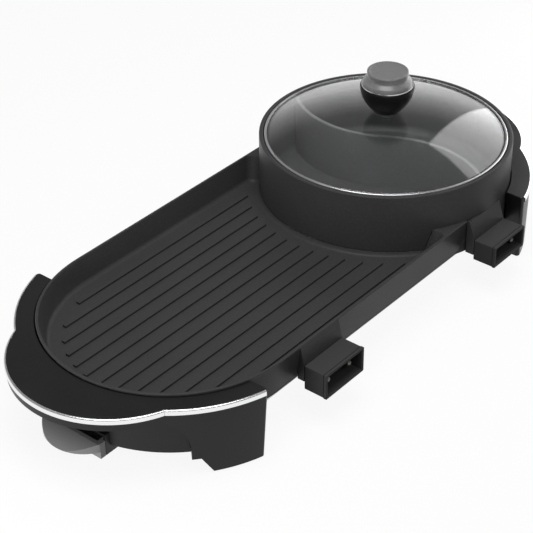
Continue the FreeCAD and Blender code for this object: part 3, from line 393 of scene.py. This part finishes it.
class Slot(Enum):
    """The record's material slots."""

    PAN_COATING = "pan_coating"
    BASE_PLASTIC = "base_plastic"
    HOOD_PLASTIC = "hood_plastic"
    BLOCK_PLASTIC = "block_plastic"
    DRAWER_PLASTIC = "drawer_plastic"
    TRIM_CHROME = "trim_chrome"
    PIN_METAL = "pin_metal"
    TUBE_METAL = "tube_metal"
    SHIELD_METAL = "shield_metal"
    LID_GLASS = "lid_glass"
    LID_STEEL = "lid_steel"
    FASTENER_STEEL = "fastener_steel"
    KNOB_PLASTIC = "knob_plastic"
    SEAL_RUBBER = "seal_rubber"
    FOOT_RUBBER = "foot_rubber"


class Group(Enum):
    """The bodies that pieces ride on."""

    COOKER = "cooker"
    LID = "lid"
    DRAWER = "drawer"


def lid_axis() -> tuple[float, float]:
    """Where the lid's upright axis is."""
    low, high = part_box("lid_rim")
    return (low[0] + high[0]) / 2, (low[1] + high[1]) / 2


def smooth_mesh(shape: bmesh.types.BMesh, name: str) -> bpy.types.Mesh:
    """Turn a finished shape into a smooth mesh.

    Args:
        shape: the shape, which is freed.
        name: the mesh's name.

    Returns:
        The mesh, with its normals outward and its flat faces kept flat.
    """
    bmesh.ops.remove_doubles(shape, verts=shape.verts[:], dist=MERGE)
    bmesh.ops.recalc_face_normals(shape, faces=shape.faces[:])
    for face in shape.faces:
        face.smooth = True
    mesh = bpy.data.meshes.new(name)
    shape.to_mesh(mesh)
    shape.free()
    return mesh


def draw_profile(shape: bmesh.types.BMesh, corners: list[tuple[Vector, float]], closed: bool,
                 steps: int) -> None:
    """Draw a line from corner to corner and round the corners.

    Args:
        shape: the shape that takes the line.
        corners: each corner's place and its rounding, 0 where it stays sharp.
        closed: whether the last corner is joined to the first.
        steps: how many steps a rounding has.
    """
    verts = [shape.verts.new(place) for place, _ in corners]
    followers = verts[1:] + verts[:1] if closed else verts[1:]
    for vert, follower in zip(verts, followers):
        shape.edges.new((vert, follower))
    for vert, (_, rounding) in zip(verts, corners):
        if rounding:
            bmesh.ops.bevel(shape, geom=[vert], offset=rounding, offset_type="OFFSET",
                            segments=steps, profile=0.5, affect="VERTICES", material=-1)


def round_edges(shape: bmesh.types.BMesh, edges: list[bmesh.types.BMEdge], radius: float,
                steps: int) -> None:
    """Round edges, each rounding kept from running into the next."""
    bmesh.ops.bevel(shape, geom=edges, offset=radius, offset_type="OFFSET", segments=steps,
                    profile=0.5, affect="EDGES", material=-1, clamp_overlap=True)


@dataclass
class Wardrobe:
    """Every finish by slot, each made into a material once."""

    finishes: dict[Slot, Finish]
    own: dict[str, Finish] = field(default_factory=dict)
    made: dict[Slot, bpy.types.Material] = field(default_factory=dict)

    def material(self, slot: Slot) -> bpy.types.Material:
        """The material of a slot."""
        if slot not in self.made:
            self.made[slot] = self.finishes[slot].make()
        return self.made[slot]

    def dress(self, node: str, slot: Slot) -> None:
        """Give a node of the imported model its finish, or the one kept for it alone."""
        material = self.own[node].make() if node in self.own else self.material(slot)
        for holder in frame["nodes"][node].material_slots:
            holder.material = material
        log.info("%s is dressed in %s", node, slot.value)

    def present(self, mesh: bpy.types.Mesh, slot: Slot, group: Group,
                stands_for: tuple[str, ...] = (),
                finish: Finish | None = None) -> bpy.types.Object:
        """Put a new piece in the scene.

        Args:
            mesh: the piece's mesh, whose name the piece takes.
            slot: the finish it wears.
            group: the body it rides on.
            stands_for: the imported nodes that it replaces.
            finish: a finish of its own, where it isn't the slot's.

        Returns:
            The piece.
        """
        piece = bpy.data.objects.new(mesh.name, mesh)
        bpy.context.scene.collection.objects.link(piece)
        mesh.materials.append(finish.make() if finish else self.material(slot))
        weighted = piece.modifiers.new("Even shading", "WEIGHTED_NORMAL")
        weighted.keep_sharp = True
        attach(piece, group.value)
        if stands_for:
            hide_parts(*stands_for)
        log.info("%s rides on %s in %s", piece.name, group.value, slot.value)
        return piece


@dataclass(frozen=True)
class SoftEdges:
    """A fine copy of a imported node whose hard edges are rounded."""

    node: str
    slot: Slot
    group: Group
    radius: float
    steps: int = 3
    hard: float = 38.0
    sliver: float = 0.06 * MM
    repairs: int = 3
    weld: float = 0.002 * MM
    flat: float = 0.5
    speck: float = 0.0005 * MM

    def close_slivers(self, shape: bmesh.types.BMesh) -> None:
        """Merge the points of the hair-thin gaps that rounding leaves where many edges meet."""
        for _ in range(self.repairs):
            bmesh.ops.remove_doubles(shape, verts=shape.verts[:], dist=MERGE)
            torn = list({vert for edge in shape.edges if len(edge.link_faces) != 2
                         for vert in edge.verts})
            if not torn:
                return
            bmesh.ops.remove_doubles(shape, verts=torn, dist=self.sliver)
            bmesh.ops.dissolve_degenerate(shape, dist=self.speck, edges=shape.edges[:])

    def build(self, wardrobe: Wardrobe) -> bpy.types.Object:
        """Build the copy and let it stand for its node."""
        shape = bmesh.new()
        shape.from_mesh(frame["nodes"][self.node].data)
        bmesh.ops.remove_doubles(shape, verts=shape.verts[:], dist=self.weld)
        bmesh.ops.dissolve_limit(shape, angle_limit=math.radians(self.flat),
                                 verts=shape.verts[:], edges=shape.edges[:])
        hard = [edge for edge in shape.edges
                if len(edge.link_faces) == 2 and edge.calc_face_angle() > math.radians(self.hard)]
        round_edges(shape, hard, self.radius, self.steps)
        self.close_slivers(shape)
        return wardrobe.present(smooth_mesh(shape, self.node + "_fine"), self.slot, self.group,
                                (self.node,))


@dataclass(frozen=True)
class Turning:
    """A piece turned about an upright axis from corners (radius, height, rounding)."""

    name: str
    axis: tuple[float, float]
    corners: tuple[tuple[float, float, float], ...]
    steps: int = 128
    round_steps: int = 4
    closed: bool = False

    def mesh(self) -> bpy.types.Mesh:
        """Round the profile's corners and spin it all the way round."""
        shape = bmesh.new()
        middle_x, middle_y = self.axis
        draw_profile(shape, [(Vector((middle_x + radius, middle_y, height)), rounding)
                             for radius, height, rounding in self.corners],
                     self.closed, self.round_steps)
        bmesh.ops.spin(shape, geom=shape.verts[:] + shape.edges[:], cent=(*self.axis, 0.0),
                       axis=(0.0, 0.0, 1.0), angle=math.tau, steps=self.steps, use_merge=True)
        return smooth_mesh(shape, self.name)


def make_wardrobe() -> Wardrobe:
    """Choose the finish of each slot."""
    return Wardrobe({
        Slot.PAN_COATING: NonStickCoating("Pan coating", (0.047, 0.047, 0.048), 0.40, 0.13),
        Slot.BASE_PLASTIC: MouldedPlastic("Base plastic", (0.010, 0.010, 0.0103), 0.32, 0.28),
        Slot.HOOD_PLASTIC: MouldedPlastic("Hood plastic", (0.050, 0.050, 0.051), 0.50, 0.05),
        Slot.BLOCK_PLASTIC: MouldedPlastic("Terminal block plastic", (0.010, 0.010, 0.0105), 0.6,
                                           0.2),
        Slot.DRAWER_PLASTIC: MouldedPlastic("Drawer plastic", (0.200, 0.200, 0.202), 0.30, 0.40),
        Slot.TRIM_CHROME: PlatedMetal("Trim plating", (0.90, 0.90, 0.91), 0.19),
        # The contact plating is darkened well below nickel as painted shade, so the pins read as
        # shaded inside the hoods.
        Slot.PIN_METAL: PlatedMetal("Contact plating darkened as painted shade", (0.15, 0.145, 0.13), 0.45),
        Slot.TUBE_METAL: HeatedSheath("Heater sheath", (0.30, 0.29, 0.28), (0.13, 0.10, 0.09)),
        Slot.SHIELD_METAL: DrawnSteel("Shield sheet", (0.50, 0.50, 0.51), 0.38),
        Slot.LID_GLASS: TemperedGlass("Lid glass", (0.985, 0.995, 0.99)),
        Slot.LID_STEEL: DrawnSteel("Lid band steel", (0.66, 0.66, 0.67), 0.28, lid_axis()),
        Slot.FASTENER_STEEL: PlatedMetal("Fastener steel", (0.62, 0.62, 0.63), 0.22),
        Slot.KNOB_PLASTIC: MouldedPlastic("Knob plastic", (0.006, 0.006, 0.0062), 0.34, 0.12),
        Slot.SEAL_RUBBER: SoftRubber("Seal rubber", (0.05, 0.05, 0.05)),
        Slot.FOOT_RUBBER: SoftRubber("Foot rubber", (0.018, 0.018, 0.018)),
    # The divider wears the pan coating made lighter: painted light standing in for the light on its
    # face.
    }, {"pot_divider": NonStickCoating("Divider coating lightened as painted light", (0.110, 0.110, 0.112), 0.42, 0.20)})


# ---------------------------------------------------------------- lid

@dataclass
class Lid:
    """The lid's rolled steel band and its knob's cap."""

    axis: tuple[float, float] = field(default_factory=lid_axis)
    sheet: float = 0.5 * MM
    band: float = 2.4 * MM
    lip: float = 0.22 * MM
    roll: float = 1.1 * MM
    flange: float = 3.0 * MM
    cone: float = 6.5 * MM
    neck_inset: float = 4.3 * MM
    plate: float = 2.0 * MM
    plate_inset: float = 3.6 * MM
    dish: float = 0.35 * MM
    dish_insets: Range = (2.6 * MM, 3.1 * MM)
    cap_finish: Finish = MouldedPlastic("Knob cap plastic", (0.180, 0.180, 0.181), 0.26, 0.50)

    def build_band(self, wardrobe: Wardrobe) -> None:
        """The band: a thin sheet rolled over the glass's edge, with rounded shoulders and lips."""
        low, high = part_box("lid_rim")
        outer = (high[0] - low[0]) / 2
        inner, edge = outer - self.band, outer - self.sheet
        bottom, top = low[2], high[2]
        inside = self.roll - self.sheet
        mesh = Turning("lid_band_fine", self.axis, (
            (inner, bottom, self.lip), (outer, bottom, self.roll), (outer, top, self.roll),
            (inner, top, self.lip), (inner, top - self.sheet, self.lip),
            (edge, top - self.sheet, inside), (edge, bottom + self.sheet, inside),
            (inner, bottom + self.sheet, self.lip)), closed=True).mesh()
        wardrobe.present(mesh, Slot.LID_STEEL, Group.LID, ("lid_rim",))

    def build_cap(self, wardrobe: Wardrobe) -> None:
        """The knob's stepped cap with soft edges and a faint dish in its top."""
        low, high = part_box("knob_cap")
        outer = (high[0] - low[0]) / 2
        bottom, top = low[2], high[2]
        rim, neck, step = outer - self.plate_inset, outer - self.neck_inset, top - self.plate
        dish_edge, dish_foot = (rim - inset for inset in self.dish_insets)
        mesh = Turning("knob_cap_fine", self.axis, (
            (0.0, bottom, 0.0), (outer, bottom, 0.3 * MM), (outer, bottom + self.flange, 0.8 * MM),
            (neck, bottom + self.cone, 0.5 * MM), (neck, step, 0.3 * MM), (rim, step, 0.3 * MM),
            (rim, top, 0.9 * MM), (dish_edge, top, 0.5 * MM),
            (dish_foot, top - self.dish, 0.3 * MM), (0.0, top - self.dish, 0.0))).mesh()
        wardrobe.present(mesh, Slot.KNOB_PLASTIC, Group.LID, ("knob_cap",), self.cap_finish)

    def build(self, wardrobe: Wardrobe) -> None:
        """Build the lid's fine pieces."""
        self.build_band(wardrobe)
        self.build_cap(wardrobe)


# ---------------------------------------------------------------- end bases

@dataclass
class TrimStrips:
    """The bright strips round one base's edge, each a rounded band swept along its lobe."""

    base: str
    side: int
    centre: float
    radius: float
    reach: float
    grip_radius: float = 94.0 * MM
    stand: float = 1.2 * MM
    depth: float = 2.2 * MM
    bottom: float = 65.8 * MM
    top: float = 71.08 * MM
    tip: float = 38.5 * MM
    joint: float = 0.06 * MM
    roundings: tuple[float, ...] = (0.2 * MM, 0.9 * MM, 1.7 * MM, 0.35 * MM)
    end_rounding: float = 0.12 * MM
    overrun: float = 1.5
    steps: int = 56
    round_steps: int = 6
    end_steps: int = 2

    @property
    def gap(self) -> float:
        """How far outward the grip's centre lies from the lobe's."""
        return self.reach - self.grip_radius

    def point(self, outward: float, across: float) -> Vector:
        """A place of the plan, from how far it is outward and across."""
        middle_x, middle_y = lid_axis()
        return Vector((middle_x + self.centre + self.side * outward, middle_y + across, 0.0))

    def crossing(self, lobe: float, grip: float) -> tuple[float, float]:
        """Where a circle round the lobe's centre meets one round the grip's centre."""
        outward = (lobe * lobe + self.gap * self.gap - grip * grip) / (2.0 * self.gap)
        return outward, math.sqrt(lobe * lobe - outward * outward)

    def swept(self, centre: Vector, outer: float, first: Vector, turn: float) -> bmesh.types.BMesh:
        """Sweep the strip's section round a centre.

        Args:
            centre: the middle of the lobe.
            outer: the strip's outer radius.
            first: a direction to where the sweep starts.
            turn: how far it goes, in radians.

        Returns:
            The open-ended strip.
        """
        shape = bmesh.new()
        away = first.normalized()
        inner = outer - self.depth
        section = ((inner, self.bottom), (outer, self.bottom), (outer, self.top), (inner, self.top))
        places = [centre + away * radius + Vector((0.0, 0.0, height)) for radius, height in section]
        draw_profile(shape, list(zip(places, self.roundings)), True, self.round_steps)
        bmesh.ops.spin(shape, geom=shape.verts[:] + shape.edges[:], cent=centre,
                       axis=(0.0, 0.0, 1.0), angle=turn, steps=self.steps, use_merge=False)
        return shape

    def cut(self, shape: bmesh.types.BMesh, hand: int, keep: Vector) -> None:
        """Mitre the strip at the kink on one side, keeping the part where a point lies."""
        outer = self.crossing(self.radius + self.stand, self.grip_radius + self.stand)
        inner = self.crossing(self.radius + self.stand - self.depth,
                              self.grip_radius + self.stand - self.depth)
        corner = self.point(outer[0], outer[1] * hand)
        along = corner - self.point(inner[0], inner[1] * hand)
        across = Vector((along.y, -along.x, 0.0)).normalized()
        if across.dot(keep - corner) > 0.0:
            across.negate()
        bmesh.ops.bisect_plane(shape, geom=shape.verts[:] + shape.edges[:] + shape.faces[:],
                               plane_co=corner - across * self.joint, plane_no=across,
                               clear_outer=True)

    def finish(self, shape: bmesh.types.BMesh, name: str, wardrobe: Wardrobe) -> None:
        """Close the strip's ends and put it in the scene."""
        bmesh.ops.remove_doubles(shape, verts=shape.verts[:], dist=MERGE)
        open_edges = [edge for edge in shape.edges if edge.is_boundary]
        bmesh.ops.holes_fill(shape, edges=open_edges, sides=0)
        ends = [face for face in shape.faces if len(face.verts) > 4]
        rims = list({edge for face in ends for edge in face.edges})
        round_edges(shape, rims, self.end_rounding, self.end_steps)
        wardrobe.present(smooth_mesh(shape, name + "_fine"), Slot.TRIM_CHROME, Group.COOKER,
                         (name,))

    def build(self, wardrobe: Wardrobe) -> None:
        """Build the two side strips and the grip's strip."""
        lobe, grip = self.radius + self.stand, self.grip_radius + self.stand
        kink, kink_across = self.crossing(lobe, grip)
        over = math.radians(self.overrun)
        middle = self.point(0.0, 0.0)
        for place, hand in (("front", -1), ("rear", 1)):
            start = math.acos(self.tip / lobe)
            turn = start - math.atan2(kink_across, kink) + over
            first = Vector((self.side * math.cos(start), hand * math.sin(start), 0.0))
            shape = self.swept(middle, lobe, first, -turn * hand * self.side)
            keep = self.point(self.tip, hand * math.sqrt(lobe * lobe - self.tip * self.tip))
            self.cut(shape, hand, keep)
            self.finish(shape, "%s_%s_trim" % (self.base, place), wardrobe)
        start = math.atan2(kink_across, kink - self.gap) + over
        first = Vector((self.side * math.cos(start), -math.sin(start), 0.0))
        shape = self.swept(self.point(self.gap, 0.0), grip, first, 2.0 * start * self.side)
        for hand in (-1, 1):
            self.cut(shape, hand, self.point(self.reach, 0.0))
        self.finish(shape, "%s_grip_trim" % self.base, wardrobe)


# ---------------------------------------------------------------- socket hoods

@dataclass(frozen=True)
class SocketHood:
    """A square sleeve with a groove and a slightly proud frame round its mouth."""

    name: str
    wall: float = 2.5 * MM
    frame_depth: float = 2.6 * MM
    groove_width: float = 0.7 * MM
    groove_depth: float = 0.6 * MM
    proud: float = 0.35 * MM
    lead_in: float = 0.6 * MM
    corner: float = 1.1 * MM
    corner_steps: int = 5
    edge: float = 0.18 * MM
    edge_steps: int = 2
    hard: float = 40.0
    level: float = 0.1 * MM
    near: float = 1.0 * MM

    def stations(self, back: float, face: float) -> list[tuple[float, float]]:
        """The sleeve's section as (y, how far out from its outer face), all the way round."""
        frame_back = face + self.frame_depth
        groove_back = frame_back + self.groove_width
        step = back - self.groove_width
        return [(back, -self.groove_depth), (step, -self.groove_depth), (step, 0.0),
                (groove_back, 0.0), (groove_back, -self.groove_depth),
                (frame_back, -self.groove_depth), (frame_back, self.proud), (face, self.proud),
                (face, self.lead_in - self.wall), (face + self.lead_in, -self.wall),
                (back, -self.wall)]

    def build(self, wardrobe: Wardrobe) -> None:
        """Draw a square loop and extrude it from station to station, then round its edges."""
        low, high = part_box(self.name)
        shape = bmesh.new()
        corners = [(low[0], low[2], -1, -1), (high[0], low[2], 1, -1),
                   (high[0], high[2], 1, 1), (low[0], high[2], -1, 1)]
        rings = []
        for y, out in self.stations(high[1], low[1]):
            rings.append([shape.verts.new((x + side * out, y, z + up * out))
                          for x, z, side, up in corners])
            for vert, follower in zip(rings[-1], rings[-1][1:] + rings[-1][:1]):
                shape.edges.new((vert, follower))
        for ring, follower in zip(rings, rings[1:] + rings[:1]):
            pair = [edge for edge in shape.edges
                    if set(edge.verts) <= set(ring) or set(edge.verts) <= set(follower)]
            bmesh.ops.bridge_loops(shape, edges=pair)
        bmesh.ops.recalc_face_normals(shape, faces=shape.faces[:])
        outer = [edge for edge in shape.edges if self.is_corner(edge, low, high)]
        round_edges(shape, outer, self.corner, self.corner_steps)
        sharp = [edge for edge in shape.edges
                 if edge.calc_face_angle(0.0) > math.radians(self.hard)]
        round_edges(shape, sharp, self.edge, self.edge_steps)
        wardrobe.present(smooth_mesh(shape, self.name + "_fine"), Slot.HOOD_PLASTIC, Group.COOKER,
                         (self.name,))

    def is_corner(self, edge: bmesh.types.BMEdge, low: Vector, high: Vector) -> bool:
        """Whether an edge runs along one of the sleeve's four outer corners."""
        first, last = (vert.co for vert in edge.verts)
        if abs(first.y - last.y) < self.level:
            return False
        return all(min(abs(first[along] - low[along]), abs(first[along] - high[along])) < self.near
                   for along in (0, 2))


SOFT_COPIES = (
    [SoftEdges("grease_drawer", Slot.DRAWER_PLASTIC, Group.DRAWER, 0.5 * MM)]
    + [SoftEdges(casting, Slot.PAN_COATING, Group.COOKER, 0.35 * MM, 2)
       for casting in ("grill_tray", "hot_pot")]
    + [SoftEdges("%s_base" % base, Slot.BASE_PLASTIC, Group.COOKER, 0.35 * MM, 2)
       for base in ("grill", "pot")]
)
STRIPS = (
    TrimStrips("grill", -1, -312.0 * MM, 140.0 * MM, 168.3 * MM),
    TrimStrips("pot", 1, 0.0, 145.0 * MM, 174.0 * MM),
)
HOODS = (SocketHood("grill_socket_hood"), SocketHood("pot_socket_hood"))


# ---------------------------------------------------------------- studio

@dataclass(frozen=True)
class Lamp:
    """A soft box that looks at a point."""

    name: str
    place: tuple[float, float, float]
    target: tuple[float, float, float]
    width: float
    height: float
    power: float
    mirrored: bool = True

    def build(self) -> None:
        """Put the lamp in the scene."""
        light = bpy.data.lights.new(self.name, "AREA")
        light.shape = "RECTANGLE"
        light.size, light.size_y = self.width, self.height
        light.energy = self.power
        holder = bpy.data.objects.new(self.name, light)
        holder.location = self.place
        holder.visible_glossy = self.mirrored
        away = Vector(self.place) - Vector(self.target)
        holder.rotation_euler = away.to_track_quat("Z", "Y").to_euler()
        bpy.context.scene.collection.objects.link(holder)


@dataclass(frozen=True)
class Viewpoint:
    """The camera: its eye, the way it looks in degrees, and its lens in millimetres."""

    eye: tuple[float, float, float] = (-0.99658, -0.79413, 0.90097)
    azimuth: float = -50.271
    elevation: float = 34.199
    roll: float = -0.5607
    lens: float = 109.5165
    sensor: float = 36.0

    def build(self) -> None:
        """Make the camera and choose it."""
        camera = bpy.data.cameras.new("Camera")
        camera.sensor_width = self.sensor
        camera.sensor_fit = "HORIZONTAL"
        camera.lens = self.lens
        holder = bpy.data.objects.new("Camera", camera)
        turn = (Matrix.Rotation(math.radians(self.azimuth), 4, "Z")
                @ Matrix.Rotation(math.radians(90.0 - self.elevation), 4, "X")
                @ Matrix.Rotation(math.radians(self.roll), 4, "Z"))
        holder.matrix_world = Matrix.Translation(self.eye) @ turn
        bpy.context.scene.collection.objects.link(holder)
        bpy.context.scene.camera = holder


@dataclass(frozen=True)
class Studio:
    """A pale floor, a white surround and a few soft boxes."""

    floor_size: float = 8.0
    floor_colour: Colour = (0.90, 0.90, 0.90)
    floor_bounce: Colour = (0.12, 0.12, 0.12)
    floor_glow: float = 0.90
    world_light: float = 0.13
    overhead: float = 0.24
    horizon: Range = (0.10, 0.5)
    lamps: tuple[Lamp, ...] = (
        Lamp("Top box", (-0.3, -0.1, 2.2), (0.0, 0.0, 0.05), 1.4, 1.2, 30.0),
        Lamp("High front box", (-0.5, -1.4, 1.7), (-0.1, 0.0, 0.05), 1.2, 0.7, 7.0, False),
        Lamp("Window box", (0.70, -0.10, 0.40), (0.153, 0.007, 0.40), 0.5, 0.8, 2.2),
        Lamp("Drawer card", (-0.80, -0.06, 0.10), (-0.30, 0.0, 0.03), 0.3, 0.15, 2.6, False),
    )

    @staticmethod
    def seen(sheet: NodeSheet) -> Socket:
        """1 for what the camera sees straight, in a mirror or through glass, and 0 otherwise."""
        path = sheet.add("ShaderNodeLightPath", {}).outputs
        mirrored = sheet.maths("MAXIMUM", path["Is Glossy Ray"], path["Is Transmission Ray"])
        return sheet.maths("MAXIMUM", path["Is Camera Ray"], mirrored)

    def build_world(self) -> None:
        """A surround that looks white near the horizon and dimmer overhead, and lights softly."""
        sheet = NodeSheet(bpy.data.worlds.new("Studio surround"))
        level = sheet.add("ShaderNodeSeparateXYZ", {
            "Vector": sheet.add("ShaderNodeTexCoord", {}).outputs["Generated"]}).outputs["Z"]
        overhead = sheet.span(level, 1.0, self.overhead, *self.horizon)
        shown = sheet.maths("MULTIPLY", self.seen(sheet), overhead)
        hidden = sheet.span(self.seen(sheet), self.world_light, 0.0, 0.0, 1.0)
        strength = sheet.maths("ADD", shown, hidden)
        glow = sheet.add("ShaderNodeBackground", {"Color": (1.0, 1.0, 1.0), "Strength": strength})
        sheet.add("ShaderNodeOutputWorld", {"Surface": glow.outputs["Background"]})
        bpy.context.scene.world = sheet.owner

    def build_floor(self) -> None:
        """A floor that the object stands on, pale and with its shadow."""
        sheet = NodeSheet(bpy.data.materials.new("Studio floor"))
        paper = sheet.shader({
            "Base Color": sheet.tint(self.seen(sheet), self.floor_bounce, self.floor_colour),
            "Roughness": 0.9,
            "Specular IOR Level": 0.1,
        })
        white = sheet.add("ShaderNodeEmission", {"Color": (1.0, 1.0, 1.0), "Strength": 1.0})
        share = sheet.maths("MULTIPLY", self.seen(sheet), self.floor_glow)
        material = sheet.close(sheet.blend(share, paper, white.outputs[0]))
        mesh = bpy.data.meshes.new("studio_floor")
        shape = bmesh.new()
        bmesh.ops.create_grid(shape, x_segments=1, y_segments=1, size=self.floor_size / 2)
        shape.to_mesh(mesh)
        shape.free()
        floor = bpy.data.objects.new("studio_floor", mesh)
        floor.data.materials.append(material)
        bpy.context.scene.collection.objects.link(floor)

    def build(self) -> None:
        """Set up the light, the floor and how colours are shown."""
        bpy.context.scene.view_settings.view_transform = "Standard"
        self.build_world()
        self.build_floor()
        for lamp in self.lamps:
            lamp.build()


def main() -> None:
    """Dress the model, add the fine pieces and set up the studio."""
    logging.basicConfig(level=logging.INFO, format="%(message)s")
    wardrobe = make_wardrobe()
    for subpart in frame["record"]["subparts"]:
        wardrobe.dress(subpart["node"], Slot(subpart["material_slot"]))
    Lid().build(wardrobe)
    for piece in (*SOFT_COPIES, *STRIPS, *HOODS):
        piece.build(wardrobe)
    Studio().build()
    Viewpoint().build()


if __name__ == "__main__":
    main()
